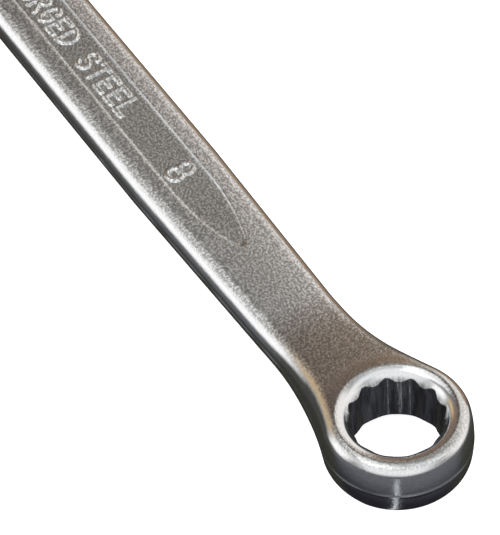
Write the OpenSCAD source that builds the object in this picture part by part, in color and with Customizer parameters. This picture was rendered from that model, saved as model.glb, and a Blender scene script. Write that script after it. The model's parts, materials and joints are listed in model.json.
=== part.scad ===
// Combination wrench, 8 mm: one drop forging with a twelve-point ring end and an open end.
// Frame: millimetres. The origin is the centre of the ring's socket, +X runs along the
// shank towards the open end, and +Z points out of the marked face. The ring's own axis
// leans away from +Z, so that a hand clears the work.

/* [Size] */
// Width across the flats of the nut it drives
nut_af = 8; // [7.6:0.1:8.4]
// Extra width between opposite driving flats
af_clearance = 0.1; // [0.05:0.05:0.2]
// Distance from the socket's centre to the nut's centre in the open jaw
centre_distance = 116; // [108:1:128]

/* [Ring head] */
// Outside diameter of the ring at its parting line
ring_d = 14.1; // [13.8:0.1:15]
// Thickness of the ring along its own axis
ring_t = 6.9; // [6.6:0.1:7.4]
// Lean of the ring's axis from +Z
ring_tilt = 5; // [3:1:8]
// Radius that crowns the ring's outer edges
ring_edge_r = 1.7; // [1.2:0.1:2]
// Forging draft of the ring's side wall, each way from the parting line
ring_draft = 6; // [3:1:7]
// Radius of the twelve lands between the socket's points
land_r = 4.33; // [4.3:0.01:4.36]
// Angle of the socket's points about its own axis, from the shank's line
socket_turn = 7; // [0:1:29]
// Radius of the socket's lead-in at its mouth
leadin_r = 4.9; // [4.8:0.05:5.2]
// Height of the lead-in cone at each mouth
leadin_h = 1; // [0.9:0.1:1.4]

/* [Shank] */
// Width of the shank where it leaves the ring's neck
shank_w = 8.6; // [8.2:0.1:8.8]
// Thickness of the shank
shank_t = 4.3; // [4:0.1:4.8]
// Width of the shank along its parallel part
shank_full_w = 9.7; // [9.2:0.1:10]
// Angle at which each side opens from the neck to the parallel part
shank_taper = 1.4; // [1:0.1:1.8]
// Radius of the shank's four long edges
shank_edge_r = 1.4; // [1:0.1:1.6]
// Height of the shank's middle plane
shank_z = -1.4; // [-1.6:0.05:-1.2]
// Where the shank begins, past the ring's neck
shank_start = 14; // [13:0.5:16]
// Radius of the waist between the ring and the shank
waist_r = 28; // [20:1:30]

/* [Recessed panel] */
// Width of the recess in each face
panel_w = 4.4; // [4:0.1:4.8]
// Depth of the recess below the shank's face
panel_depth = 0.25; // [0.2:0.05:0.35]
// Where the panel's pointed end lies, on the ring side
panel_start = 25.3; // [24:0.1:27]
// Radius of the sides that close each end of the panel
panel_side_r = 26; // [20:1:30]
// Radius that blunts each point of the panel
panel_tip_r = 0.7; // [0.5:0.1:1]

/* [Open jaw] */
// Outside radius of the jaw head
jaw_head_r = 9.2; // [8.8:0.1:9.6]
// Thickness of the jaw head
jaw_t = 5.4; // [5.2:0.1:5.8]
// Angle of the jaw's opening from the shank
jaw_angle = 15; // [12:1:18]
// How far the jaw tips stand past the nut's centre
jaw_tip = 5; // [4.6:0.1:5.4]
// Width across the two jaw tips
jaw_tip_w = 16; // [15.6:0.1:16.4]
// Radius of the outer corner of each jaw tip
jaw_corner_r = 1.4; // [1:0.1:1.6]
// Radius that rounds the jaw head's rim
jaw_edge_r = 1; // [0.8:0.1:1.2]
// Radius of the blend between the shank and the jaw head
jaw_blend_r = 16; // [14:1:18]

/* [Raised marks] */
// Height of the marks above the panel's floor
mark_h = 0.22; // [0.15:0.01:0.25]
// Width of a glyph's stroke
stroke = 0.5; // [0.4:0.02:0.54]
// Height of the size figure near each head
size_glyph_h = 2.7; // [2.5:0.1:2.9]
// Height of the letters of the legend
legend_glyph_h = 2.2; // [2:0.1:2.4]
// Distance from one letter to the next
legend_pitch = 1.8; // [1.7:0.05:1.9]
// Distance of each size figure from its head's centre
size_mark_x = 36.3; // [35.5:0.1:38]
// Where the legend's last letter ends
legend_end = 44.7; // [42:0.1:46]

/* [Hidden] */
$fn = 96;
af = nut_af + af_clearance;
hex_corner_r = af / 2 / cos(30);
ring_r = ring_d / 2;
shank_half_t = shank_t / 2;
half_w0 = shank_w / 2;
half_w1 = shank_full_w / 2;
jaw_half_t = jaw_t / 2;
// Where the shank ends and the blend into the jaw head begins
shank_end = centre_distance - blend_reach(jaw_head_r, half_w1, jaw_blend_r) - 1;
panel_end = shank_end - 5;
// How far the necks stay inside the heads' own surfaces, so that the heads' edges show
head_inset = 0.3;
through = 30;
corner_steps = 5;
arc_steps = 8;
neck_stations = 12;
glyph_steps = 12;
glyph_aspect = 0.55;
legend = "FORGED STEEL";

// Half width of the shank at a place along it
function half_w(x) = min(half_w1, half_w0 + (x - shank_start) * tan(shank_taper));
// Points of an arc about c, from angle a0 to a1
function arc(c, r, a0, a1, n) = [for (i = [0:n]) c + r * unit(a0 + (a1 - a0) * i / n)];
function unit(a) = [cos(a), sin(a)];
// 0 to 1 with level ends, as x goes from a to b
function ease(x, a, b) = let (u = min(1, max(0, (x - a) / (b - a)))) u * u * (3 - 2 * u);
function mix(a, b, u) = a + (b - a) * u;
// A round head of radius r blends into a bar of half width w by a concave arc of radius f.
// The arc reaches this far from the head's centre
function blend_reach(r, w, f) = sqrt(pow(r + f, 2) - pow(w + f, 2));
// Half width of head, arc or bar, at distance x from the head's centre
function blended_half_w(x, r, w, f) =
    let (reach = blend_reach(r, w, f))
    let (touch = r * reach / (r + f))
    x >= reach ? w : x >= touch ? w + f - sqrt(f * f - pow(x - reach, 2)) : sqrt(r * r - x * x);

// Outline of a rectangle with rounded corners, half sizes w and t
function rounded_box(w, t, r, n) = concat(
    arc([w - r, t - r], r, 0, 90, n),
    arc([r - w, t - r], r, 90, 180, n),
    arc([r - w, r - t], r, 180, 270, n),
    arc([w - r, r - t], r, 270, 360, n));

// A solid skin through sections that each stand square to X, given as [x, z, w, t, r]
module loft(stations) {
    n = 4 * (corner_steps + 1);
    last = (len(stations) - 1) * n;
    points = [for (s = stations)
        for (p = rounded_box(s[2], s[3], s[4], corner_steps))
        [s[0], p[0], s[1] + p[1]]];
    sides = [for (i = [0:len(stations) - 2]) for (j = [0:n - 1])
        let (a = i * n + j, b = i * n + (j + 1) % n)
        each [[a, a + n, b + n], [a, b + n, b]]];
    first_cap = [for (j = [0:n - 1]) j];
    last_cap = [for (j = [n - 1:-1:0]) last + j];
    polyhedron(points = points, faces = concat([first_cap, last_cap], sides), convexity = 4);
}

// ---- ring head ----

// Half of the ring's cross-section: flat faces, crowned edges and a drafted side wall
function ring_profile() =
    let (h = ring_t / 2, r = ring_edge_r, d = ring_draft)
    let (c = [ring_r - (h - r) * tan(d) - r / cos(d), h - r])
    concat(
        [[0, -h]],
        arc([c[0], -c[1]], r, -90, -d, arc_steps),
        [[ring_r, 0]],
        arc(c, r, d, 90, arc_steps),
        [[0, h]]);

// Height of the neck's middle at x: it follows the leaning ring, then runs level
function neck_z(x) =
    let (lean = -x * tan(ring_tilt), soft = 1.2)
    (lean + shank_z + sqrt(pow(lean - shank_z, 2) + soft * soft)) / 2;

// Section of the neck at x, as the loft takes it
function neck_section(x) =
    let (u = ease(x, ring_r - ring_edge_r, shank_start))
    let (w = blended_half_w(x, ring_r - head_inset, half_w(x), waist_r))
    let (t = mix(ring_t / 2 - head_inset, shank_half_t, u))
    [x, mix(neck_z(x), shank_z, u), w, t, mix(ring_edge_r, shank_edge_r, u)];

module neck() {
    start = ring_r / 3;
    step = (shank_start - start) / neck_stations;
    loft([for (i = [0:neck_stations]) neck_section(start + i * step)]);
}

module socket_void() {
    cylinder(r = land_r, h = through, center = true);
    for (turn = [0, 30])
        rotate(socket_turn + turn) cylinder(r = hex_corner_r, h = through, center = true, $fn = 6);
    for (side = [0, 1])
        mirror([0, 0, side]) leadin();
}

// The steep cone at one mouth of the socket, carried on past the ring's face
module leadin() {
    slope = (leadin_r - land_r) / leadin_h;
    rise = leadin_h + 2;
    translate([0, 0, ring_t / 2 - leadin_h])
        cylinder(r1 = land_r, r2 = land_r + slope * rise, h = rise);
}

module ring_head() {
    color("silver")
        difference() {
            union() {
                rotate([0, ring_tilt, 0]) rotate_extrude() polygon(ring_profile());
                neck();
            }
            rotate([0, ring_tilt, 0]) socket_void();
        }
}

// ---- shank ----

// A bar with four rounded edges along X, half width w, that starts before the shank does
module bar_stock(w, length) {
    translate([-through, 0, 0])
        rotate([90, 0, 90])
            linear_extrude(length + 2 * through)
                polygon(rounded_box(w, shank_half_t, shank_edge_r, arc_steps));
}

// One tapered side of the bar: wide stock, placed by its outer face and turned
module tapered_side(length) {
    wide = 2 * half_w1;
    rotate(shank_taper)
        translate([0, half_w0 - wide, 0]) bar_stock(wide, length);
}

// Outline of the recess: parallel sides that curve in to a blunt point at each end
function panel_outline() =
    let (w = panel_w / 2, r = panel_side_r, tip = panel_tip_r)
    let (run = sqrt(pow(r - tip, 2) - pow(r - w, 2)), turn = acos((r - w) / (r - tip)))
    let (left = panel_start + tip + run, right = panel_end - tip - run)
    concat(
        arc([right, r - w], r, 270, 270 + turn, arc_steps),
        arc([right + run, 0], tip, turn - 90, 90 - turn, arc_steps),
        arc([right, w - r], r, 90 - turn, 90, arc_steps),
        arc([left, w - r], r, 90, 90 + turn, arc_steps),
        arc([left - run, 0], tip, 90 + turn, 270 - turn, arc_steps),
        arc([left, r - w], r, 270 - turn, 270, arc_steps));

module panel_cut() {
    translate([0, 0, shank_half_t - panel_depth])
        linear_extrude(1) polygon(panel_outline());
}

module shank() {
    length = shank_end - shank_start;
    color("gray")
        translate([0, 0, shank_z])
            difference() {
                intersection() {
                    bar_stock(half_w1, length);
                    translate([shank_start, 0, 0]) tapered_side(length);
                    mirror([0, 1, 0]) translate([shank_start, 0, 0]) tapered_side(length);
                    translate([shank_start, -through / 2, -through / 2]) cube([length, through, through]);
                }
                panel_cut();
                mirror([0, 0, 1]) panel_cut();
            }
}

// ---- jaw head ----

// The jaw head as a round disc with a rounded rim
module jaw_disc() {
    h = jaw_half_t;
    r = jaw_edge_r;
    rim = jaw_head_r - r;
    rotate_extrude()
        polygon(concat(
            [[0, -h]],
            arc([rim, r - h], r, -90, 0, arc_steps),
            arc([rim, h - r], r, 0, 90, arc_steps),
            [[0, h]]));
}

// The opening between the driving flats, with a round bottom behind the nut
module jaw_slot() {
    bottom = hex_corner_r - af / 2;
    translate([-bottom, 0, 0]) cylinder(r = af / 2, h = through, center = true);
    translate([-bottom, -af / 2, -through / 2]) cube([through, af, through]);
}

// Outline that squares off the jaw tips and rounds their outer corners
module tip_outline() {
    r = jaw_corner_r;
    w = jaw_tip_w / 2;
    corner = arc([jaw_tip - r, w - r], r, 0, 90, arc_steps);
    other_corner = arc([jaw_tip - r, r - w], r, 270, 360, arc_steps);
    translate([0, 0, -through / 2])
        linear_extrude(through)
            polygon(concat(other_corner, corner, [[-through, through], [-through, -through]]));
}

// Section of the jaw's neck at x, as the loft takes it
function jaw_section(x) =
    let (u = ease(x, shank_end, centre_distance - jaw_head_r + jaw_edge_r))
    let (w = blended_half_w(centre_distance - x, jaw_head_r - head_inset, half_w1, jaw_blend_r))
    [x, 0, w, mix(shank_half_t, jaw_half_t - head_inset, u), mix(shank_edge_r, jaw_edge_r, u)];

module jaw_neck() {
    end = centre_distance - jaw_head_r / 2;
    step = (end - shank_end) / neck_stations;
    loft([for (i = [0:neck_stations]) jaw_section(shank_end + i * step)]);
}

module jaw_head() {
    color("silver")
        translate([0, 0, shank_z])
            difference() {
                union() {
                    jaw_neck();
                    translate([centre_distance, 0, 0]) rotate(jaw_angle)
                        intersection() {
                            jaw_disc();
                            tip_outline();
                        }
                }
                translate([centre_distance, 0, 0]) rotate(jaw_angle) jaw_slot();
            }
}

// ---- raised marks ----

// A straight stroke from a to b with square ends
module bar(a, b) {
    run = b - a;
    translate([a[0], a[1], 0])
        rotate(atan2(run[1], run[0]))
            translate([-stroke / 2, -stroke / 2, 0]) cube([norm(run) + stroke, stroke, mark_h]);
}

// Points of an ellipse's arc about c
function ellipse(c, rx, ry, a0, a1) =
    [for (i = [0:glyph_steps]) let (a = a0 + (a1 - a0) * i / glyph_steps) c + [rx * cos(a), ry * sin(a)]];

// A curved stroke along an ellipse's arc, from angle a0 to a1
module bow(c, rx, ry, a0, a1) {
    outer = ellipse(c, rx + stroke / 2, ry + stroke / 2, a0, a1);
    inner = ellipse(c, rx - stroke / 2, ry - stroke / 2, a1, a0);
    linear_extrude(mark_h) polygon(concat(outer, inner));
}

// A closed round stroke
module loop(c, rx, ry) {
    bow(c, rx, ry, -5, 185);
    bow(c, rx, ry, 175, 365);
}

// One glyph, w wide and h high, with its lower left corner at the origin
module glyph(name, w, h) {
    if (name == "8") {
        loop([w / 2, h * 0.74], w * 0.42, h * 0.26);
        loop([w / 2, h * 0.26], w / 2, h * 0.26);
    }
    if (name == "F" || name == "E") {
        bar([0, 0], [0, h]);
        bar([0, h], [w, h]);
        bar([0, h / 2], [w * 0.8, h / 2]);
    }
    if (name == "E" || name == "L") bar([0, 0], [w, 0]);
    if (name == "L") bar([0, 0], [0, h]);
    if (name == "T") {
        bar([0, h], [w, h]);
        bar([w / 2, 0], [w / 2, h]);
    }
    if (name == "O") loop([w / 2, h / 2], w / 2, h / 2);
    if (name == "D") {
        bar([0, 0], [0, h]);
        bow([0, h / 2], w, h / 2, -90, 90);
    }
    if (name == "R") {
        bar([0, 0], [0, h]);
        bow([0, h * 0.74], w * 0.9, h * 0.26, -90, 90);
        bar([w * 0.35, h / 2], [w, 0]);
    }
    if (name == "G") {
        bow([w / 2, h / 2], w / 2, h / 2, 40, 350);
        bar([w * 0.6, h * 0.42], [w, h * 0.42]);
    }
    if (name == "S") {
        bow([w / 2, h * 0.75], w / 2, h / 4, 20, 270);
        bow([w / 2, h * 0.25], w / 2, h / 4, 90, -160);
    }
}

// A line of glyphs that ends at x, reading towards the ring and centred on the panel
module legend_line(word, x, h, pitch) {
    w = h * glyph_aspect;
    for (i = [0:len(word) - 1])
        translate([x + (len(word) - i) * pitch, h / 2, 0]) rotate(180) glyph(word[i], w, h);
}

// Puts marks on the floor of the top panel
module on_panel() {
    translate([0, 0, shank_z + shank_half_t - panel_depth]) children();
}

// The size figure near each head
module size_figures() {
    w = size_glyph_h * glyph_aspect;
    for (x = [size_mark_x, centre_distance - size_mark_x])
        translate([x + w / 2, size_glyph_h / 2, 0]) rotate(180) glyph("8", w, size_glyph_h);
}

module size_marks_top() {
    color("silver") on_panel() size_figures();
}

module size_marks_bottom() {
    color("silver")
        translate([0, 0, 2 * shank_z]) rotate([180, 0, 0]) on_panel() size_figures();
}

module legend_top() {
    color("silver")
        on_panel() legend_line(legend, legend_end, legend_glyph_h, legend_pitch);
}

ring_head();
shank();
jaw_head();
size_marks_top();
legend_top();
size_marks_bottom();
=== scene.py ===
"""Looks of a combination wrench: one forging, shown as its ring head, shank, jaw head and raised marks.

The whole forging is described once, as a signed distance in millimetres. It is meshed as a single
smooth skin and then cut where the CAD nodes meet, so that the pieces fit without a visible seam.
"""

import json
import math

import bmesh
import bpy
import numpy as np
from mathutils import Matrix, Vector


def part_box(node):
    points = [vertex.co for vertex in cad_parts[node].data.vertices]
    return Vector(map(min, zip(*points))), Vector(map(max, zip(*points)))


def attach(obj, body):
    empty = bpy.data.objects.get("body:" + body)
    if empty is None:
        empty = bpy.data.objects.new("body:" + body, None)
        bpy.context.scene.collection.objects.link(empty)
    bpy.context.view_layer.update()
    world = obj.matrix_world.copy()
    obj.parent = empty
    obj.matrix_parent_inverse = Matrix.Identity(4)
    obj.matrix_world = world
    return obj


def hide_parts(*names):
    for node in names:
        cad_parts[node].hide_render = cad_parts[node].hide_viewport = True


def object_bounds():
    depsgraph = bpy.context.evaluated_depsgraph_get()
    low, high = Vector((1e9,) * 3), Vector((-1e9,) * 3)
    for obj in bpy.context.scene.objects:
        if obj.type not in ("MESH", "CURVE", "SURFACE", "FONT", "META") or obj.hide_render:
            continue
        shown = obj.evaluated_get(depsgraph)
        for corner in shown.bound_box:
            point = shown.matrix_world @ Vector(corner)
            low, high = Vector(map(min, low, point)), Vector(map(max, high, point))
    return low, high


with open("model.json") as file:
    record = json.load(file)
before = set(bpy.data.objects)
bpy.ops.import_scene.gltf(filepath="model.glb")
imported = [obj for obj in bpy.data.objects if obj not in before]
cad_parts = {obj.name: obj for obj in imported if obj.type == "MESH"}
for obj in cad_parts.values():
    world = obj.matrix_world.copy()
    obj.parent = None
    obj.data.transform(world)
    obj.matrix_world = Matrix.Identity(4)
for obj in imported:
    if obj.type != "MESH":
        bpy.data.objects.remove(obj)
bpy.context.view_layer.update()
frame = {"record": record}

MM = 0.001

# ---------------------------------------------------------------- sizes taken from the frame

MOUNTS = {m["name"]: m for m in frame["record"]["mounts"]}


def box_mm(node):
    """A CAD node's lowest and highest corners, in millimetres."""
    low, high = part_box(node)
    return np.array(low) / MM, np.array(high) / MM


RING_LOW, RING_HIGH = box_mm("ring_head")
SHANK_LOW, SHANK_HIGH = box_mm("shank")
JAW_LOW, JAW_HIGH = box_mm("jaw_head")

SOCKET = MOUNTS["ring_socket"]
RING_TILT = math.atan2(SOCKET["axis"][0], SOCKET["axis"][2])
LAND_R = SOCKET["dims"]["r_mm"]
RING_R = (RING_HIGH[1] - RING_LOW[1]) / 2
CUT_RING = float(SHANK_LOW[0])
CUT_JAW = float(SHANK_HIGH[0])
SHANK_Z = float(SHANK_LOW[2] + SHANK_HIGH[2]) / 2
SHANK_HALF_T = float(SHANK_HIGH[2] - SHANK_LOW[2]) / 2
SHANK_HALF_W = float(SHANK_HIGH[1])
JAW_HALF_T = float(JAW_HIGH[2] - JAW_LOW[2]) / 2

FLAT_L, FLAT_R = (np.array(MOUNTS[name]["pos_m"]) / MM for name in ("jaw_flat_left", "jaw_flat_right"))
ACROSS_FLATS = float(np.linalg.norm(FLAT_L - FLAT_R))
JAW_AXIS = MOUNTS["jaw_flat_left"]["axis"]
JAW_ANGLE = math.atan2(JAW_AXIS[0], -JAW_AXIS[1])
HEX_CORNER_R = ACROSS_FLATS / 2 / math.cos(math.radians(30))

# ---------------------------------------------------------------- sizes in millimetres

# The ring. A pair such as RING_ZONE says where, along the wrench, a change starts and where it is complete.
RING_HALF_T = 3.45
RING_DRAFT = math.radians(7)
RING_CROWN_R = 1.0
RING_UNDER_R = 1.7
RING_ZONE = (14.0, 4.0)
CROWN_ZONE = (9.0, 3.0)

# The socket: twelve points and twelve lands, with a steep cone and a rounded lip at each mouth.
SOCKET_TURN = math.radians(7)
POINT_PITCH = math.radians(30)
POINT_ROOT_R = 0.3
LAND_CREST = 0.08
LAND_EDGE_R = 0.08
LEADIN_R = 5.05
LEADIN_SLOPE = math.radians(50)
LEADIN_DROP = 0.1
LIP_R = 0.5

# The neck climbs from its foot on the bar to its top, a crest round the ring's rim.
NECK_HALF_W = 4.3
NECK_TAPER = 0.026
TAPER_EASE = 4.0
TAPER_END_R = 0.4
NECK_EDGE_R = 1.5
NECK_TOP = 5.8
NECK_FOOT = 16.5
NECK_SWEEP = 0.6
CLIMB_LIMIT = 1.3
NECK_CREST_R = 0.06
NECK_EDGE_ZONE = (NECK_FOOT, NECK_TOP + 3)
WAIST_R = 28.0
BEND_R = 1.5

# The bar, and the fine line that is left where the dies met.
SHANK_EDGE_R = 1.4
SIDE_DRAFT = math.radians(5)
FACE_CROWN_R = 36.0
PARTING_H = 0.05
PARTING_W = 0.16
TRIM_WAVE = 5.2
TRIM_BEAT = 1.7
TRIM_DEPTH = 0.7

# The recessed panel in each face.
PANEL_HALF_W = 2.2
PANEL_SIDE_R = 26.0
PANEL_TIP_R = 1.4
PANEL_DEPTH = 0.25
PANEL_TIP_SHARE = 0.6
PANEL_RAMP = 9.0
PANEL_WALL = math.radians(42)
PANEL_SOFT_R = 0.07
PANEL_START = 25.3
PANEL_END = CUT_JAW - 5.0

# The open end.
JAW_HEAD_R = 9.2
JAW_TIP = 5.0
JAW_CORNER_R = 1.5
JAW_BLEND_R = 16.0
JAW_EDGE_R = 0.9
SLOT_EDGE_R = 0.2
JAW_CENTRE = (FLAT_L + FLAT_R) / 2 - JAW_TIP / 2 * np.array([math.cos(JAW_ANGLE), math.sin(JAW_ANGLE), 0])
JAW_ZONE = (CUT_JAW, JAW_CENTRE[0] - JAW_HEAD_R + 1.5)


# ---------------------------------------------------------------- distance helpers


def soft_max(a, b, r):
    """The larger of two distances, with the edge between them rounded to radius r."""
    return np.minimum(np.maximum(a, b), -r) + np.hypot(np.maximum(a + r, 0), np.maximum(b + r, 0))


def soft_min(a, b, r):
    """The smaller of two distances, with the corner between them filled to radius r."""
    return -soft_max(-a, -b, r)


def ease(x, a, b):
    """0 to 1 with level ends, as x goes from a to b."""
    u = np.clip((x - a) / (b - a), 0, 1)
    return u * u * (3 - 2 * u)


def mix(a, b, u):
    """From a to b as u goes from 0 to 1."""
    return a + (b - a) * u


# ---------------------------------------------------------------- the forging as a signed distance


def ring_coords(x, y, z):
    """Distance from the ring's axis, angle round it and height along it."""
    across = x * math.cos(RING_TILT) - z * math.sin(RING_TILT)
    along = x * math.sin(RING_TILT) + z * math.cos(RING_TILT)
    return np.hypot(across, y), np.arctan2(y, across), along


def lead_in(radius, height):
    """The steep cone at a mouth of the socket: positive inside the cut."""
    slope = -(radius - LEADIN_R) * math.sin(LEADIN_SLOPE)
    return slope + (height - (RING_HALF_T - LEADIN_DROP)) * math.cos(LEADIN_SLOPE)


def socket(radius, angle, height):
    """Twelve points between twelve lands, opened by a cone at each mouth: negative inside the hole."""
    turn = np.abs((angle - SOCKET_TURN + POINT_PITCH / 2) % POINT_PITCH - POINT_PITCH / 2)
    u, v = radius * np.cos(turn), radius * np.sin(turn)
    flat = u * math.cos(POINT_PITCH) + v * math.sin(POINT_PITCH) - ACROSS_FLATS / 2
    other = u * math.cos(POINT_PITCH) - v * math.sin(POINT_PITCH) - ACROSS_FLATS / 2
    points = soft_max(flat, other, POINT_ROOT_R)
    hole = soft_min(points, radius - (LAND_R - LAND_CREST), LAND_EDGE_R)
    return np.minimum(hole, -lead_in(radius, np.abs(height)))


def half_width(x):
    """Half width of the bar: it opens from the neck and then runs parallel."""
    past = np.maximum(x - CUT_RING, 0)
    run = np.where(past < TAPER_EASE, past * past / (2 * TAPER_EASE), past - TAPER_EASE / 2)
    return soft_min(NECK_HALF_W + run * NECK_TAPER, SHANK_HALF_W + 0 * x, TAPER_END_R)


def jaw_coords(x, y):
    """Coordinates about the nut's centre, with the first axis out of the jaw's mouth."""
    dx, dy = x - JAW_CENTRE[0], y - JAW_CENTRE[1]
    c, s = math.cos(JAW_ANGLE), math.sin(JAW_ANGLE)
    return dx * c + dy * s, dy * c - dx * s


def end_outline(x, up, half, head, head_r, arc_r):
    """One end's outline: its head at the origin, a concave arc that meets it, then the bar along +x."""
    reach = math.sqrt((head_r + arc_r) ** 2 - (half + arc_r) ** 2)
    arc_side = arc_r - np.hypot(x - reach, up - half - arc_r)
    on_arc = (x < reach) & (x * (half + arc_r) > up * reach) & (up < half + arc_r)
    return reach, np.where(on_arc, arc_side, head)


def outline(x, y):
    """Distance to the wrench's outline, seen from above."""
    up = np.abs(y)
    ring_reach, ring_end = end_outline(x, up, NECK_HALF_W, np.hypot(x, y) - RING_R, RING_R, WAIST_R)
    u, v = jaw_coords(x, y)
    jaw = soft_max(np.hypot(u, v) - JAW_HEAD_R, u - JAW_TIP, JAW_CORNER_R)
    from_jaw = JAW_CENTRE[0] - x
    jaw_reach, jaw_end = end_outline(from_jaw, up, SHANK_HALF_W, jaw, JAW_HEAD_R, JAW_BLEND_R)
    bar = up - half_width(x)
    return np.where(x < ring_reach, ring_end, np.where(from_jaw < jaw_reach, jaw_end, bar))


def middle_height(x):
    """Height of the parting plane: it follows the leaning ring and then runs level."""
    return -soft_min(x * math.tan(RING_TILT), -SHANK_Z + 0 * x, BEND_R)


def half_thickness(x, y):
    """Half the thickness at a place: it climbs from the shank to a crest round the ring's rim."""
    climb = (NECK_FOOT - np.hypot(np.maximum(x, 0), y)) / (NECK_FOOT - NECK_TOP)
    climb = np.clip(climb, 0, CLIMB_LIMIT)
    neck = soft_min(climb * climb * (1 + NECK_SWEEP - NECK_SWEEP * climb), 1 + 0 * climb, NECK_CREST_R)
    jaw = ease(x, *JAW_ZONE)
    return SHANK_HALF_T + (RING_HALF_T - SHANK_HALF_T) * neck + (JAW_HALF_T - SHANK_HALF_T) * jaw


def edge_radius(x, underside):
    """Radius of the edge between the face and the side: smallest round the jaw, largest under the ring."""
    crown = np.where(underside, RING_UNDER_R, RING_CROWN_R)
    near_ring = mix(NECK_EDGE_R, crown, ease(x, *CROWN_ZONE))
    elsewhere = mix(SHANK_EDGE_R, JAW_EDGE_R, ease(x, *JAW_ZONE))
    return mix(elsewhere, near_ring, ease(x, *NECK_EDGE_ZONE))


def blank(x, y, z):
    """The whole forging before it is pierced: the outline given thickness, draft and rounded edges."""
    off_middle = z - middle_height(x)
    up = np.abs(off_middle)
    at_ring = ease(x, *RING_ZONE)
    draft = mix(up * math.tan(SIDE_DRAFT), up * up / RING_HALF_T * math.tan(RING_DRAFT), at_ring)
    lean = off_middle * math.tan(RING_TILT) * at_ring
    side = (outline(x - lean, y) + draft) * math.cos(SIDE_DRAFT)
    crowned = ease(x, JAW_CENTRE[0] - JAW_HEAD_R, CUT_JAW) * ease(x, NECK_TOP, NECK_FOOT)
    crown = y * y / (2 * FACE_CROWN_R) * crowned
    return soft_max(side, up - half_thickness(x, y) + crown, edge_radius(x, off_middle < 0))


def panel(x, y):
    """Distance to the outline of the recessed panel."""
    drop = PANEL_SIDE_R - PANEL_HALF_W
    run = math.sqrt((PANEL_SIDE_R - PANEL_TIP_R * (1 - math.sqrt(0.5))) ** 2 - drop ** 2)
    beyond = np.maximum(np.maximum(PANEL_START + run - x, x - PANEL_END + run), 0)
    upper = np.hypot(beyond, y + drop) - PANEL_SIDE_R
    lower = np.hypot(beyond, y - drop) - PANEL_SIDE_R
    return soft_max(upper, lower, PANEL_TIP_R)


def panel_void(x, y, z):
    """The recess in both faces, with sloping walls: it is shallower at its tips."""
    past_tips = ease(x, PANEL_START, PANEL_START + PANEL_RAMP) * ease(x, PANEL_END, PANEL_END - PANEL_RAMP)
    depth = PANEL_DEPTH * mix(PANEL_TIP_SHARE, 1, past_tips)
    above_floor = np.abs(z - SHANK_Z) - (SHANK_HALF_T - depth)
    wall = (panel(x, y) - (above_floor - depth) * math.tan(PANEL_WALL)) * math.cos(PANEL_WALL)
    return soft_max(wall, -above_floor, PANEL_SOFT_R)


def jaw_slot(x, y):
    """The opening between the driving flats: negative inside the opening."""
    u, v = jaw_coords(x, y)
    bottom = HEX_CORNER_R - ACROSS_FLATS / 2
    return np.where(u < -bottom, np.hypot(u + bottom, v), np.abs(v)) - ACROSS_FLATS / 2


def forging(x, y, z):
    """Signed distance to the wrench's surface, negative in the steel."""
    radius, angle, height = ring_coords(x, y, z)
    body = soft_max(blank(x, y, z), lead_in(radius, np.abs(height)), LIP_R)
    trim = 1 + TRIM_DEPTH * np.sin(x * math.tau / TRIM_WAVE) * np.sin(x * TRIM_BEAT / TRIM_WAVE)
    body = body - PARTING_H * trim * np.exp(-(((z - middle_height(x)) / PARTING_W) ** 2))
    body = soft_max(body, -panel_void(x, y, z), PANEL_SOFT_R)
    body = soft_max(body, -socket(radius, angle, height), LAND_EDGE_R)
    return soft_max(body, -jaw_slot(x, y), SLOT_EDGE_R)


# ---------------------------------------------------------------- meshing a signed distance


def grid_axis(*stretches):
    """Grid positions through stretches given as (start, end, step)."""
    parts = [np.linspace(a, b, max(2, round((b - a) / step)), endpoint=False) for a, b, step in stretches]
    return np.concatenate(parts + [[stretches[-1][1]]])


def sample(field, axes):
    """The field at every grid point, worked out in slabs to save memory."""
    slabs = np.array_split(axes[0], max(1, len(axes[0]) // 24))
    return np.concatenate([field(*np.meshgrid(s, axes[1], axes[2], indexing="ij")) for s in slabs])


def surface_nets(field, axes):
    """Vertices and quads of the field's zero surface, one vertex in each cell that it crosses."""
    value = sample(field, axes)
    inside = value < 0
    nx, ny, nz = (len(a) - 1 for a in axes)
    corners = [(i, j, k) for i in (0, 1) for j in (0, 1) for k in (0, 1)]
    count = sum(inside[i:nx + i, j:ny + j, k:nz + k].astype(np.int8) for i, j, k in corners)
    cells = np.argwhere((count > 0) & (count < 8))
    index = np.full((nx, ny, nz), -1)
    index[tuple(cells.T)] = np.arange(len(cells))
    vertices = cell_crossings(value, cells, corners, axes)
    quads = [edge_quads(inside, index, axis) for axis in range(3)]
    return vertices, np.concatenate(quads)


def cell_crossings(value, cells, corners, axes):
    """The mean of the points where each cell's edges cross the surface."""
    total = np.zeros((len(cells), 3))
    hits = np.zeros(len(cells))
    at = [np.stack([axes[d][cells[:, d] + c[d]] for d in range(3)], 1) for c in corners]
    level = [value[tuple((cells + c).T)] for c in corners]
    for a in range(8):
        for b in range(a + 1, 8):
            if sum(p != q for p, q in zip(corners[a], corners[b])) != 1:
                continue
            crossed = (level[a] < 0) != (level[b] < 0)
            share = np.where(crossed, level[a] / np.where(crossed, level[a] - level[b], 1), 0)
            point = at[a] + share[:, None] * (at[b] - at[a])
            total += point * crossed[:, None]
            hits += crossed
    return total / hits[:, None]


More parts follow.
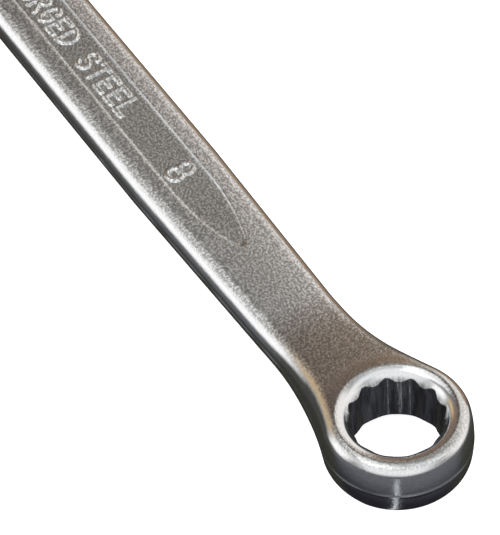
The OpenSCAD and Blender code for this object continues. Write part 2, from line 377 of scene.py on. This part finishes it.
def edge_quads(inside, index, axis):
    """One quad round each grid edge along the axis that the surface crosses, turned to face outwards."""
    u, v = (d for d in range(3) if d != axis)
    inner = [slice(1, -1)] * 3
    low, high = list(inner), list(inner)
    low[axis], high[axis] = slice(0, -1), slice(1, None)
    crossed = inside[tuple(low)] != inside[tuple(high)]
    edges = np.argwhere(crossed)
    leaving = inside[tuple(low)][tuple(edges.T)]
    edges[:, u] += 1
    edges[:, v] += 1
    around = []
    for du, dv in ((0, 0), (1, 0), (1, 1), (0, 1)):
        cell = edges.copy()
        cell[:, u] -= du
        cell[:, v] -= dv
        around.append(index[tuple(cell.T)])
    quad = np.stack(around, 1)
    if axis == 1:
        leaving = ~leaving
    return np.where(leaving[:, None], quad, quad[:, ::-1])


def gradient(field, points, reach=0.01):
    """The field's slope at each point, by central differences."""
    slopes = []
    for axis in range(3):
        step = np.zeros(3)
        step[axis] = reach
        slopes.append((field(*(points + step).T) - field(*(points - step).T)) / (2 * reach))
    return np.stack(slopes, 1)


def settle(field, points, rounds=4, limit=0.08):
    """Moves points along the slope until they lie on the surface."""
    for _ in range(rounds):
        slope = gradient(field, points)
        steep = np.maximum((slope ** 2).sum(1), 0.2)
        move = np.clip(field(*points.T) / steep, -limit, limit)
        points = points - move[:, None] * slope
    return points


# ---------------------------------------------------------------- pieces cut from the skin


def mesh_object(name, vertices, faces):
    """A mesh object from points in millimetres."""
    mesh = bpy.data.meshes.new(name)
    mesh.vertices.add(len(vertices))
    mesh.vertices.foreach_set("co", (vertices * MM).astype(np.float32).ravel())
    size = faces.shape[1]
    mesh.loops.add(faces.size)
    mesh.loops.foreach_set("vertex_index", faces.astype(np.int32).ravel())
    mesh.polygons.add(len(faces))
    mesh.polygons.foreach_set("loop_start", np.arange(0, faces.size, size, dtype=np.int32))
    mesh.update(calc_edges=True)
    mesh.validate()
    piece = bpy.data.objects.new(name, mesh)
    bpy.context.scene.collection.objects.link(piece)
    return piece


def points_of(mesh):
    """A mesh's vertices in millimetres."""
    flat = np.empty(len(mesh.vertices) * 3, np.float32)
    mesh.vertices.foreach_get("co", flat)
    return flat.reshape(-1, 3).astype(float) / MM


def shade(mesh, field):
    """Smooth shading with the field's own slope, which it returns, as the normal; flat caps stay flat."""
    mesh.polygons.foreach_set("use_smooth", np.ones(len(mesh.polygons), bool))
    slope = gradient(field, points_of(mesh))
    slope /= np.linalg.norm(slope, axis=1)[:, None]
    corner = np.empty(len(mesh.loops), np.int32)
    mesh.loops.foreach_get("vertex_index", corner)
    normals = slope[corner]
    for face in mesh.polygons:
        if face.loop_total > 4:
            normals[face.loop_start:face.loop_start + face.loop_total] = face.normal
    mesh.normals_split_custom_set(normals.tolist())
    return slope


def cut_piece(name, skin, low=None, high=None):
    """A copy of the skin between two planes across the wrench, closed where it was cut."""
    bm = bmesh.new()
    bm.from_mesh(skin)
    for x, side in ((low, -1), (high, 1)):
        if x is None:
            continue
        everything = bm.verts[:] + bm.edges[:] + bm.faces[:]
        cut = bmesh.ops.bisect_plane(bm, geom=everything, dist=1e-9, plane_co=(x * MM, 0, 0),
                                     plane_no=(side, 0, 0), clear_outer=True)
        rim = [e for e in cut["geom_cut"] if isinstance(e, bmesh.types.BMEdge)]
        bmesh.ops.contextual_create(bm, geom=rim)
    bmesh.ops.recalc_face_normals(bm, faces=bm.faces)
    mesh = bpy.data.meshes.new(name)
    bm.to_mesh(mesh)
    bm.free()
    piece = bpy.data.objects.new(name, mesh)
    bpy.context.scene.collection.objects.link(piece)
    return piece


def write_mask(mesh, name, values):
    """Stores one number for each vertex, for the material to read."""
    layer = mesh.attributes.new(name, "FLOAT", "POINT")
    layer.data.foreach_set("value", np.clip(values, 0, 1).astype(np.float32))


# Zones of the finish. In each, the first number is where the finish starts and the second where it is full.
RIM_ZONE = (5.8, 5.2)
HEAD_ZONE = (8.5, 6.5)
HEAD_SHINE = 0.55
JAW_SHINE_ZONE = (CUT_JAW - 4, CUT_JAW + 4)
JAW_SHINE = 0.8
WORN_SLOPE = (0.95, 0.75)
WORN_SHINE = 0.85
LEVEL_SLOPE = (0.90, 0.98)
RING_TOP_INNER = (5.4, 5.7)
RING_TOP_OUTER = (6.9, 6.4)
RING_TOP_DULL = 0.8
FLOOR_ZONE = (-0.3, -0.5)
# In the socket: where its streaks, extra roughness and painted shade start, and where they are full.
BORE_ZONE = (LEADIN_R + 0.1, LAND_R + 0.35)
BORE_DEPTH = (RING_HALF_T - 0.5, RING_HALF_T - 0.95)


def finish_masks(mesh, slope):
    """How polished or how dull the steel is, and how far inside the socket a point lies."""
    x, y, z = points_of(mesh).T
    radius, _, height = ring_coords(x, y, z)
    facing = np.abs(slope[:, 2])
    rim = ease(radius, *RIM_ZONE)
    on_ring = HEAD_SHINE * ease(radius, *HEAD_ZONE)
    on_jaw = JAW_SHINE * ease(x, *JAW_SHINE_ZONE)
    worn_edge = WORN_SHINE * ease(facing, *WORN_SLOPE)
    write_mask(mesh, "polish", np.maximum.reduce([rim, on_ring, on_jaw, worn_edge]))
    ring_top = RING_TOP_DULL * ease(radius, *RING_TOP_INNER) * ease(radius, *RING_TOP_OUTER)
    floor = ease(panel(x, y), *FLOOR_ZONE)
    write_mask(mesh, "dull", np.maximum(floor, ring_top * ease(facing, *LEVEL_SLOPE)))
    # The socket mask carries the streaks, more roughness and a painted shade, all fullest deep inside.
    write_mask(mesh, "bore", ease(radius, *BORE_ZONE) * ease(np.abs(height), *BORE_DEPTH))


# The grid that the forging is meshed on: finest at the ends, with a margin of air all round.
RING_MARGIN = 1.2
JAW_MARGIN = 0.5
UP_MARGIN = 0.4
RING_END = 9
NECK_END = 20
RING_STEP = 0.11
NECK_STEP = 0.17
SHANK_STEP = 0.28
JAW_STEP = 0.125
ACROSS_STEP = 0.12
UP_STEP = 0.115


def make_forging():
    """The three pieces of the forging, one for each CAD node."""
    half_span = JAW_HEAD_R + JAW_MARGIN
    axes = (
        grid_axis((-RING_R - RING_MARGIN, RING_END, RING_STEP), (RING_END, NECK_END, NECK_STEP),
                  (NECK_END, CUT_JAW, SHANK_STEP), (CUT_JAW, JAW_HIGH[0] + JAW_MARGIN, JAW_STEP)),
        grid_axis((-half_span, half_span, ACROSS_STEP)),
        grid_axis((RING_LOW[2] - UP_MARGIN, RING_HIGH[2] + UP_MARGIN, UP_STEP)),
    )
    vertices, quads = surface_nets(forging, axes)
    vertices = settle(forging, vertices)
    skin = mesh_object("skin", vertices, quads)
    pieces = {
        "ring_head": cut_piece("ring_head_forged", skin.data, high=CUT_RING),
        "shank": cut_piece("shank_forged", skin.data, low=CUT_RING, high=CUT_JAW),
        "jaw_head": cut_piece("jaw_head_forged", skin.data, low=CUT_JAW),
    }
    bpy.data.objects.remove(skin)
    for piece in pieces.values():
        finish_masks(piece.data, shade(piece.data, forging))
    return pieces


# ---------------------------------------------------------------- raised marks

LEGEND = "FORGED STEEL"
LEGEND_H = 2.2
LEGEND_PITCH = 1.8
FIGURE_H = 2.7
GLYPH_ASPECT = 0.55
STROKE = 0.54
STROKE_TOP_R = 0.25
FLARE = 0.07
FLARE_H = 0.05
MARK_H = 0.22
MARK_SUNK = 0.06
MARK_STEP = 0.045
MARK_MARGIN = 0.1
PLAN_MARGIN = 0.4


def arc(cx, cy, rx, ry, start, end, steps=14):
    """A curved stroke as a chain of points."""
    turns = np.radians(np.linspace(start, end, steps))
    return np.stack([cx + rx * np.cos(turns), cy + ry * np.sin(turns)], 1)


def strokes(name, w, h):
    """The strokes of one character, as chains of points."""
    left, foot = [(0, 0), (0, h)], [(0, 0), (w, 0)]
    roof, middle = [(0, h), (w, h)], [(0, h / 2), (w * 0.8, h / 2)]
    upper_loop = arc(w / 2, h * 0.74, w * 0.42, h * 0.26, 0, 360, 24)
    lower_loop = arc(w / 2, h * 0.26, w / 2, h * 0.26, 0, 360, 24)
    shapes = {
        "8": [upper_loop, lower_loop],
        "F": [left, roof, middle],
        "E": [left, roof, middle, foot],
        "L": [left, foot],
        "T": [roof, [(w / 2, 0), (w / 2, h)]],
        "O": [arc(w / 2, h / 2, w / 2, h / 2, 0, 360, 28)],
        "D": [left, arc(0, h / 2, w, h / 2, -90, 90)],
        "R": [left, arc(0, h * 0.74, w * 0.9, h * 0.26, -90, 90), [(w * 0.35, h / 2), (w, 0)]],
        "G": [arc(w / 2, h / 2, w / 2, h / 2, 40, 350, 24), [(w * 0.6, h * 0.42), (w, h * 0.42)]],
        "S": [arc(w / 2, h * 0.75, w / 2, h / 4, 20, 270), arc(w / 2, h * 0.25, w / 2, h / 4, 90, -160)],
    }
    return [np.array(chain, float) for chain in shapes[name]]


def stroke_distance(chains, x, y):
    """Distance in plan to the nearest stroke's centre line."""
    near = np.full(np.broadcast(x, y).shape, np.inf)
    for chain in chains:
        for (ax, ay), (bx, by) in zip(chain[:-1], chain[1:]):
            ux, uy = bx - ax, by - ay
            along = np.clip(((x - ax) * ux + (y - ay) * uy) / (ux * ux + uy * uy), 0, 1)
            near = np.minimum(near, np.hypot(x - ax - along * ux, y - ay - along * uy))
    return near


def raised_stroke(chains):
    """The signed distance to a raised character, rounded on top and flared where it meets the floor."""

    def field(x, y, z):
        flare = FLARE * np.exp(-np.maximum(z, -MARK_MARGIN) / FLARE_H)
        side = stroke_distance(chains, x, y) - STROKE / 2 - flare
        return np.maximum(soft_max(side, z - MARK_H, STROKE_TOP_R), -MARK_SUNK - z)

    return field


def character(name, h):
    """One character's mesh, with its lower left corner at the origin."""
    w = h * GLYPH_ASPECT
    field = raised_stroke(strokes(name, w, h))
    edge = STROKE / 2 + PLAN_MARGIN
    axes = (
        grid_axis((-edge, w + edge, MARK_STEP)),
        grid_axis((-edge, h + edge, MARK_STEP)),
        grid_axis((-MARK_SUNK - MARK_MARGIN, MARK_H + MARK_MARGIN, MARK_STEP)),
    )
    vertices, quads = surface_nets(field, axes)
    vertices = settle(field, vertices)
    slope = gradient(field, vertices)
    return vertices, quads, slope / np.linalg.norm(slope, axis=1)[:, None]


def place_marks(name, placed, flip=False):
    """Puts characters on a face, reading towards the ring; placed holds (character, height, right end)."""
    floor = SHANK_HALF_T - PANEL_DEPTH
    all_vertices, all_quads, all_normals = [], [], []
    count = 0
    for glyph, h, end in placed:
        vertices, quads, normals = character(glyph, h)
        vertices = np.stack([end - vertices[:, 0], h / 2 - vertices[:, 1], floor + vertices[:, 2]], 1)
        normals = normals * (-1, -1, 1)
        if flip:
            vertices, normals = vertices * (1, -1, -1), normals * (1, -1, -1)
        all_vertices.append(vertices + (0, 0, SHANK_Z))
        all_quads.append(quads + count)
        all_normals.append(normals)
        count += len(vertices)
    piece = mesh_object(name, np.concatenate(all_vertices), np.concatenate(all_quads))
    mesh = piece.data
    mesh.polygons.foreach_set("use_smooth", np.ones(len(mesh.polygons), bool))
    mesh.normals_split_custom_set_from_vertices(np.concatenate(all_normals).tolist())
    return piece


def make_marks():
    """The size figures on both faces and the wording on the top face."""
    low, high = box_mm("size_marks_top")
    figure_w = FIGURE_H * GLYPH_ASPECT
    ends = (low[0] + STROKE / 2 + figure_w, high[0] - STROKE / 2)
    figures = [("8", FIGURE_H, end) for end in ends]
    first_end = box_mm("legend_top")[1][0] - STROKE / 2
    letters = [(c, LEGEND_H, first_end - i * LEGEND_PITCH) for i, c in enumerate(LEGEND) if c != " "]
    return {
        "size_marks_top": place_marks("size_figures_top", figures),
        "legend_top": place_marks("wording_top", letters),
        "size_marks_bottom": place_marks("size_figures_bottom", figures, flip=True),
    }


# ---------------------------------------------------------------- materials


class Nodes:
    """Short calls for building a node tree."""

    def __init__(self, tree):
        self.tree = tree
        tree.nodes.clear()

    def add(self, kind, inputs=None, **settings):
        """A new node with its inputs fed and its settings made."""
        node = self.tree.nodes.new(kind)
        for key, value in settings.items():
            setattr(node, key, value)
        for key, value in (inputs or {}).items():
            self.feed(node.inputs[key], value)
        return node

    def feed(self, socket, value):
        """Links a node or an output to an input, or sets the input's own value."""
        if isinstance(value, bpy.types.NodeSocket):
            self.tree.links.new(value, socket)
        elif isinstance(value, bpy.types.Node):
            self.tree.links.new(value.outputs[0], socket)
        else:
            socket.default_value = value

    def math(self, operation, a, b=0.0, c=0.0, clamp=False):
        """A number worked out from up to three others."""
        node = self.add("ShaderNodeMath", {0: a, 1: b, 2: c}, operation=operation, use_clamp=clamp)
        return node.outputs[0]

    def vector(self, operation, a, b=(0, 0, 0)):
        """A vector sum, with all the node's outputs."""
        return self.add("ShaderNodeVectorMath", {0: a, 1: b}, operation=operation)

    def dot(self, a, b):
        """How far two directions agree."""
        return self.vector("DOT_PRODUCT", a, b).outputs["Value"]

    def in_mm(self, place):
        """A place in metres, turned into millimetres."""
        return self.add("ShaderNodeVectorMath", {0: place, "Scale": 1 / MM}, operation="SCALE").outputs[0]

    def between(self, value, low, high, to_low=0.0, to_high=1.0):
        """A smooth step from to_low to to_high, as the value goes from low to high."""
        inputs = {"Value": value, "From Min": low, "From Max": high, "To Min": to_low, "To Max": to_high}
        return self.add("ShaderNodeMapRange", inputs, interpolation_type="SMOOTHSTEP").outputs[0]

    def mask(self, name):
        """A number that write_mask stored on the mesh."""
        return self.add("ShaderNodeAttribute", attribute_name=name).outputs["Fac"]

    def blend(self, share, a, b):
        """Colour a where the share is 0 and b where it is 1; 6 and 7 are the node's colour inputs."""
        return self.add("ShaderNodeMix", {0: share, 6: a, 7: b}, data_type="RGBA").outputs[2]

    def noise(self, at, scale, detail=2.0, rough=0.5):
        """Cloudy noise from 0 to 1, at a place in a scaled space."""
        inputs = {"Vector": at, "Scale": scale, "Detail": detail, "Roughness": rough}
        return self.add("ShaderNodeTexNoise", inputs).outputs["Fac"]


SATIN_TINT = (0.84, 0.835, 0.825, 1)
HEAD_TINT = (0.80, 0.79, 0.765, 1)
RAISED_TINT = (0.88, 0.88, 0.87, 1)
POLISH_TINT = (0.86, 0.86, 0.86, 1)
HEAD_POLISH_TINT = (0.86, 0.86, 0.865, 1)
DULL_TINT = (0.69, 0.69, 0.675, 1)
PIT_TINT = (0.08, 0.08, 0.08, 1)
# The socket's streak colours, both kept far darker than the steel as painted shade deep in the socket.
SHADED_STREAK_DARK = (0.08, 0.08, 0.085, 1)
SHADED_STREAK_LIGHT = (0.42, 0.42, 0.43, 1)

SATIN_ROUGH = 0.21
POLISH_ROUGH = 0.15
PATCH_ROUGH = 0.08
BORE_ROUGH = 0.06

# Patterns: how many to a millimetre, or round the socket, and how high they stand in millimetres.
GRAIN_PER_MM = 4.1
PATCHES_PER_MM = 0.35
RIPPLES_PER_MM = 0.6
STREAKS_PER_TURN = 64
STREAKS_ALONG_PER_MM = 0.25
GRAIN_DETAIL = 3.0
GRAIN_ROUGH = 0.62
GRAIN_H = 0.06
POLISHED_GRAIN_H = 0.006
RAISED_GRAIN = 0.6
RIPPLE_H = 0.02
STREAK_H = 0.06

# The levels of noise, or of polish, between which a pattern fades, and how strong it is.
PIT_LEVELS = (0.45, 0.56)
SATIN_PITS = 0.46
POLISHED_PITS = 0.05
GRAIN_FADE = (0.15, 0.95)
ROUGH_FADE = (0.1, 0.9)
STREAK_LEVELS = (0.38, 0.62)
# How much of the socket's tint is streaks over painted shade.
STREAK_AND_SHADE_SHARE = 0.75


def steel(name, satin_tint, polish_tint, grain=1.0):
    """Chrome on forged steel: fine grain where it is satin, soft ripples where it is polished."""
    material = bpy.data.materials.new(name)
    material.use_nodes = True
    n = Nodes(material.node_tree)
    at = n.in_mm(n.add("ShaderNodeTexCoord").outputs["Object"])
    polish, bore = n.mask("polish"), n.mask("bore")
    fine = n.noise(at, GRAIN_PER_MM, GRAIN_DETAIL, GRAIN_ROUGH)
    streak = n.noise(streak_place(n, at), 1.0, GRAIN_DETAIL)
    tint = n.blend(n.mask("dull"), n.blend(polish, satin_tint, polish_tint), DULL_TINT)
    metal = n.add("ShaderNodeBsdfPrincipled", {
        "Base Color": marked_tint(n, tint, fine, streak, polish, bore),
        "Metallic": 1.0,
        "Roughness": steel_roughness(n, at, polish, bore),
        "Normal": steel_bump(n, at, fine, streak, polish, bore, grain),
    })
    n.add("ShaderNodeOutputMaterial", {"Surface": metal})
    return material


def steel_bump(n, at, fine, streak, polish, bore, grain):
    """Grain, which polishing has levelled, then broad ripples, then the socket's streaks."""
    grain_height = n.between(polish, *GRAIN_FADE, GRAIN_H * grain, POLISHED_GRAIN_H)
    height = n.math("MULTIPLY", fine, grain_height)
    height = n.math("MULTIPLY_ADD", n.noise(at, RIPPLES_PER_MM), RIPPLE_H, height)
    height = n.math("MULTIPLY_ADD", streak, n.math("MULTIPLY", bore, STREAK_H), height)
    return n.add("ShaderNodeBump", {"Strength": 1.0, "Distance": MM, "Height": height})


def steel_roughness(n, at, polish, bore):
    """Smoother where it is polished, uneven in broad patches, rougher in the socket."""
    rough = n.between(polish, *ROUGH_FADE, SATIN_ROUGH, POLISH_ROUGH)
    patch = n.math("SUBTRACT", n.noise(at, PATCHES_PER_MM), 0.5)
    rough = n.math("MULTIPLY_ADD", patch, PATCH_ROUGH, rough)
    return n.math("MULTIPLY_ADD", bore, BORE_ROUGH, rough, clamp=True)


def marked_tint(n, tint, fine, streak, polish, bore):
    """The tint with its dark pits, and in the socket light and dark streaks laid over a painted shade."""
    pits = n.between(fine, *PIT_LEVELS, 1.0, 0.0)
    pits = n.math("MULTIPLY", pits, n.between(polish, 0.0, 1.0, SATIN_PITS, POLISHED_PITS))
    tint = n.blend(pits, tint, PIT_TINT)
    # Real streaks on a dark ground that is painted shade inside the socket.
    broached_and_shaded = n.blend(n.between(streak, *STREAK_LEVELS), SHADED_STREAK_DARK, SHADED_STREAK_LIGHT)
    return n.blend(n.math("MULTIPLY", bore, STREAK_AND_SHADE_SHARE), tint, broached_and_shaded)


def streak_place(n, at):
    """Coordinates that stretch noise into marks running along the socket."""
    along = n.dot(at, (math.sin(RING_TILT), 0, math.cos(RING_TILT)))
    across = n.dot(at, (math.cos(RING_TILT), 0, -math.sin(RING_TILT)))
    turn = n.math("ARCTAN2", n.dot(at, (0, 1, 0)), across)
    inputs = {
        "X": n.math("MULTIPLY", turn, STREAKS_PER_TURN / math.tau),
        "Y": n.math("MULTIPLY", along, STREAKS_ALONG_PER_MM),
    }
    return n.add("ShaderNodeCombineXYZ", inputs).outputs[0]


# ---------------------------------------------------------------- stage, light and camera

# The camera, in degrees and millimetres.
CAMERA_TURN = 146.1
CAMERA_RISE = 53.5
CAMERA_ROLL = 0.19
CAMERA_DISTANCE = 300.0
CAMERA_LENS = 221.1
CAMERA_SENSOR = 36.0
AIM_LEFT = 13.43
AIM_UP = 15.3

# The floor and the lamp, in metres and watts.
FLOOR_GAP = 0.02 * MM
FLOOR_HALF = 2.0
FLOOR_GLOW = 0.8
LAMP_SIZE = (0.9, 0.6)
LAMP_PLACE = Vector((0.25, 0.35, 0.9))
LAMP_POWER = 1.5


def make_camera():
    """A long lens that looks down on the ring end, as the photograph does."""
    turn, rise, roll = (math.radians(v) for v in (CAMERA_TURN, CAMERA_RISE, CAMERA_ROLL))
    back = Vector((math.cos(turn) * math.cos(rise), math.sin(turn) * math.cos(rise), math.sin(rise)))
    level = Vector((0, 0, 1)).cross(back).normalized()
    top = back.cross(level)
    right = level * math.cos(roll) + top * math.sin(roll)
    up = top * math.cos(roll) - level * math.sin(roll)
    place = up * AIM_UP - right * AIM_LEFT + back * CAMERA_DISTANCE
    data = bpy.data.cameras.new("photo_view")
    data.sensor_width = CAMERA_SENSOR
    data.lens = CAMERA_LENS
    data.clip_start = 0.01
    camera = bpy.data.objects.new("photo_view", data)
    camera.matrix_world = Matrix.Translation(place * MM) @ Matrix((right, up, back)).transposed().to_4x4()
    bpy.context.scene.collection.objects.link(camera)
    bpy.context.scene.camera = camera


def toward(bearing, rise):
    """A direction from its bearing and its height above the horizon, in degrees."""
    a, e = math.radians(bearing), math.radians(rise)
    return Vector((math.cos(a) * math.cos(e), math.sin(a) * math.cos(e), math.sin(e)))


# What the chrome mirrors. Directions and sizes are in degrees, and colours are linear light.
# A card: (bearing, rise, half width, half height, softness, colour). A later card covers an earlier one.
CARDS = (
    (160, 66, 60, 22, 14, (0.90, 0.91, 0.93)),
    (57, 13, 16, 17, 10, (1.2, 1.2, 1.2)),
    (142, 30, 44, 26, 16, (0.95, 0.96, 0.97)),
    (-108, 20, 30, 22, 14, (1.0, 0.98, 0.96)),
    (-68, 24, 24, 30, 5, (0.95, 0.92, 0.89)),
    (-39, 21, 7, 9, 5, (0.36, 0.25, 0.14)),
    (-60, -14, 14, 10, 8, (0.32, 0.22, 0.14)),
    (21, 17, 12, 9, 9, (0.75, 0.53, 0.27)),
    (146, -62, 0.8, 34, 1.5, (0.9, 0.95, 1.0)),
)
GAP = (8, 56, 19, 16, 7)
GAP_COLOUR = (0.04, 0.04, 0.04, 1)
SKY = (0.34, 0.345, 0.335, 1)
WARM_SIDE = (0.21, 0.152, 0.118, 1)
WARM_TOWARD = (-22, 15)
LOW_GREY = (0.13, 0.135, 0.15, 1)
LOW_DARK = (0.008, 0.008, 0.014, 1)
LOW_FAR = (0.035, 0.034, 0.024, 1)
LOW_FAR_SHARE = 0.75
NEAR_SIDE = (146, 0)

# Fades: cosines of the angle from a direction, or heights from -1 straight down to 1 straight up.
WARM_SPREAD = (0.70, 0.86)
WARM_HEIGHT = (0.86, 0.58)
TABLE_HEIGHT = (-0.88, -0.52)
NEAR_SPREAD = (-0.15, 0.1)
AHEAD_SPREAD = (0.0, 0.1)
HORIZON = (-0.10, 0.06)


def card_mask(n, look, bearing, rise, half_w, half_h, soft):
    """1 where a direction falls on a soft-edged card, 0 elsewhere."""
    centre = toward(bearing, rise)
    side = Vector((0, 0, 1)).cross(centre).normalized()
    ahead = n.dot(look, centre)
    share = n.between(ahead, *AHEAD_SPREAD)
    for axis, half in ((side, half_w), (centre.cross(side), half_h)):
        angle = n.math("ARCTAN2", n.math("ABSOLUTE", n.dot(look, axis)), ahead)
        edge = n.between(angle, math.radians(max(half - soft, 0)), math.radians(half + soft), 1.0, 0.0)
        share = n.math("MULTIPLY", share, edge)
    return share


def studio(n, look):
    """The light that comes from a direction: a grey room, a warm side, a dark table and soft cards."""
    height = n.add("ShaderNodeSeparateXYZ", {0: look}).outputs["Z"]
    warm = n.between(n.dot(look, toward(*WARM_TOWARD)), *WARM_SPREAD)
    warm = n.math("MULTIPLY", warm, n.between(height, *WARM_HEIGHT))
    sky = n.blend(warm, SKY, WARM_SIDE)
    sky = n.blend(card_mask(n, look, *GAP), sky, GAP_COLOUR)
    table = n.blend(n.between(height, *TABLE_HEIGHT), LOW_DARK, LOW_GREY)
    near_side = n.between(n.dot(look, toward(*NEAR_SIDE)), *NEAR_SPREAD)
    table = n.blend(near_side, n.blend(LOW_FAR_SHARE, table, LOW_FAR), table)
    colour = n.blend(n.between(height, *HORIZON), table, sky)
    for *place, light in CARDS:
        colour = n.blend(card_mask(n, look, *place), colour, (*light, 1))
    return colour


def make_world():
    """A white room for the camera and the floor, and the studio for what the chrome mirrors."""
    world = bpy.data.worlds.new("studio")
    bpy.context.scene.world = world
    world.use_nodes = True
    n = Nodes(world.node_tree)
    look = n.add("ShaderNodeTexCoord").outputs["Generated"]
    glossy = n.add("ShaderNodeLightPath").outputs["Is Glossy Ray"]
    mirrored = n.add("ShaderNodeBackground", {"Color": studio(n, look), "Strength": 1.0})
    room = n.add("ShaderNodeBackground", {"Color": (1, 1, 1, 1), "Strength": 1.0})
    surface = n.add("ShaderNodeMixShader", {0: glossy, 1: room, 2: mirrored})
    n.add("ShaderNodeOutputWorld", {"Surface": surface})


def make_floor():
    """A plain pale floor just under the wrench; the chrome mirrors it as a dark table."""
    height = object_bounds()[0][2] - FLOOR_GAP
    corners = [(x * FLOOR_HALF, y * FLOOR_HALF, height) for x, y in ((-1, -1), (1, -1), (1, 1), (-1, 1))]
    mesh = bpy.data.meshes.new("floor")
    mesh.from_pydata(corners, [], [(0, 1, 2, 3)])
    floor = bpy.data.objects.new("floor", mesh)
    bpy.context.scene.collection.objects.link(floor)
    material = bpy.data.materials.new("pale_floor")
    material.use_nodes = True
    n = Nodes(material.node_tree)
    pale = n.add("ShaderNodeBsdfDiffuse", {"Color": (0.9, 0.9, 0.9, 1)})
    glow = n.add("ShaderNodeEmission", {"Color": (1, 1, 1, 1), "Strength": FLOOR_GLOW})
    lit = n.add("ShaderNodeAddShader", {0: pale, 1: glow})
    incoming = n.add("ShaderNodeNewGeometry").outputs["Incoming"]
    look = n.vector("MULTIPLY", incoming, (-1, -1, -1)).outputs[0]
    mirrored = n.add("ShaderNodeEmission", {"Color": studio(n, look), "Strength": 1.0})
    glossy = n.add("ShaderNodeLightPath").outputs["Is Glossy Ray"]
    surface = n.add("ShaderNodeMixShader", {0: glossy, 1: lit, 2: mirrored})
    n.add("ShaderNodeOutputMaterial", {"Surface": surface})
    mesh.materials.append(material)


def make_key_light():
    """One large soft lamp, for the shade under the wrench."""
    data = bpy.data.lights.new("softbox", "AREA")
    data.shape = "RECTANGLE"
    data.size, data.size_y = LAMP_SIZE
    data.energy = LAMP_POWER
    data.specular_factor = 0
    lamp = bpy.data.objects.new("softbox", data)
    facing = LAMP_PLACE.to_track_quat("Z", "Y").to_matrix().to_4x4()
    lamp.matrix_world = Matrix.Translation(LAMP_PLACE) @ facing
    bpy.context.scene.collection.objects.link(lamp)


# ---------------------------------------------------------------- the object put together


def stand_in(piece, node, material):
    """Shows a piece in place of a CAD node, on the wrench's one body."""
    piece.data.materials.append(material)
    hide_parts(node)
    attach(piece, "root")


def main():
    """The wrench in its finishes, then the floor, the light and the camera."""
    bpy.context.scene.view_settings.view_transform = "Standard"
    pieces = make_forging()
    marks = make_marks()
    satin = steel("satin_chrome", SATIN_TINT, POLISH_TINT)
    polished = steel("polished_chrome", HEAD_TINT, HEAD_POLISH_TINT)
    raised = steel("raised_chrome", RAISED_TINT, POLISH_TINT, grain=RAISED_GRAIN)
    stand_in(pieces["ring_head"], "ring_head", polished)
    stand_in(pieces["shank"], "shank", satin)
    stand_in(pieces["jaw_head"], "jaw_head", polished)
    for node, piece in marks.items():
        stand_in(piece, node, raised)
    make_floor()
    make_key_light()
    make_world()
    make_camera()


main()
